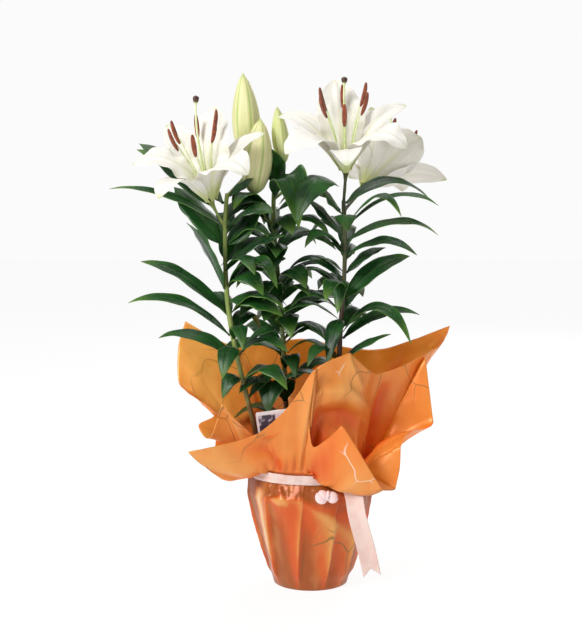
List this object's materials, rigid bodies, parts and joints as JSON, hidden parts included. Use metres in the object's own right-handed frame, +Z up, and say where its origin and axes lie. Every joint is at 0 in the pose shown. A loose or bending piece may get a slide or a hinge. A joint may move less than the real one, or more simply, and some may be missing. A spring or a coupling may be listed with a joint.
{
  "type": "potted lily",
  "caption": "Potted lily with open white flowers, buds and arching leaves, its pot wrapped in orange film gathered and tied with a pink ribbon.",
  "frame": {"origin": "centre of the flat underside of the wrapped pot, on the surface it stands on", "axes": "+Z up along the plant; +X to the right and +Y to the back as seen from the side with the knot"},
  "size_m": [0.3897, 0.2516, 0.5786],
  "materials": {
    "pot_plastic": "matte",
    "potting_soil": "matte",
    "bulb_scales": "satin",
    "card": "satin",
    "film": "satin",
    "ribbon": "satin",
    "stem_green": "satin",
    "leaf_green": "satin",
    "petal_white": "satin",
    "bud_cream": "satin",
    "pistil_green": "satin",
    "anther_rust": "matte"
  },
  "bodies": {
    "root": {"pot": "pot_plastic", "soil": "potting_soil", "bulb_left": "bulb_scales", "bulb_middle": "bulb_scales", "bulb_right": "bulb_scales", "label_card": "card", "wrap_inner": "film", "wrap_outer": "film", "ribbon_band": "ribbon", "ribbon_knot": "ribbon", "ribbon_tail": "ribbon", "stem_left": "stem_green", "stem_middle": "stem_green", "stem_right": "stem_green", "flower_left_tepal_1": "petal_white", "flower_left_tepal_2": "petal_white", "flower_left_tepal_3": "petal_white", "flower_left_tepal_4": "petal_white", "flower_left_tepal_5": "petal_white", "flower_left_tepal_6": "petal_white", "flower_right_tepal_1": "petal_white", "flower_right_tepal_2": "petal_white", "flower_right_tepal_3": "petal_white", "flower_right_tepal_4": "petal_white", "flower_right_tepal_5": "petal_white", "flower_right_tepal_6": "petal_white", "flower_rear_tepal_1": "petal_white", "flower_rear_tepal_2": "petal_white", "flower_rear_tepal_3": "petal_white", "flower_rear_tepal_4": "petal_white", "flower_rear_tepal_5": "petal_white", "flower_rear_tepal_6": "petal_white", "flower_left_stamens": "anther_rust", "flower_right_stamens": "anther_rust", "flower_rear_stamens": "anther_rust", "flower_left_pistil": "pistil_green", "flower_right_pistil": "pistil_green", "flower_rear_pistil": "pistil_green", "bud_tall": "bud_cream", "bud_slim": "bud_cream", "bud_swelling": "bud_cream", "bud_green": "bud_cream", "leaf_left_1": "leaf_green", "leaf_left_2": "leaf_green", "leaf_left_3": "leaf_green", "leaf_left_4": "leaf_green", "leaf_left_5": "leaf_green", "leaf_left_6": "leaf_green", "leaf_left_7": "leaf_green", "leaf_middle_1": "leaf_green", "leaf_middle_2": "leaf_green", "leaf_middle_3": "leaf_green", "leaf_middle_4": "leaf_green", "leaf_right_1": "leaf_green", "leaf_right_2": "leaf_green", "leaf_right_3": "leaf_green", "leaf_right_4": "leaf_green", "leaf_right_5": "leaf_green", "leaf_right_6": "leaf_green", "leaf_right_7": "leaf_green"}
  },
  "joints": []
}
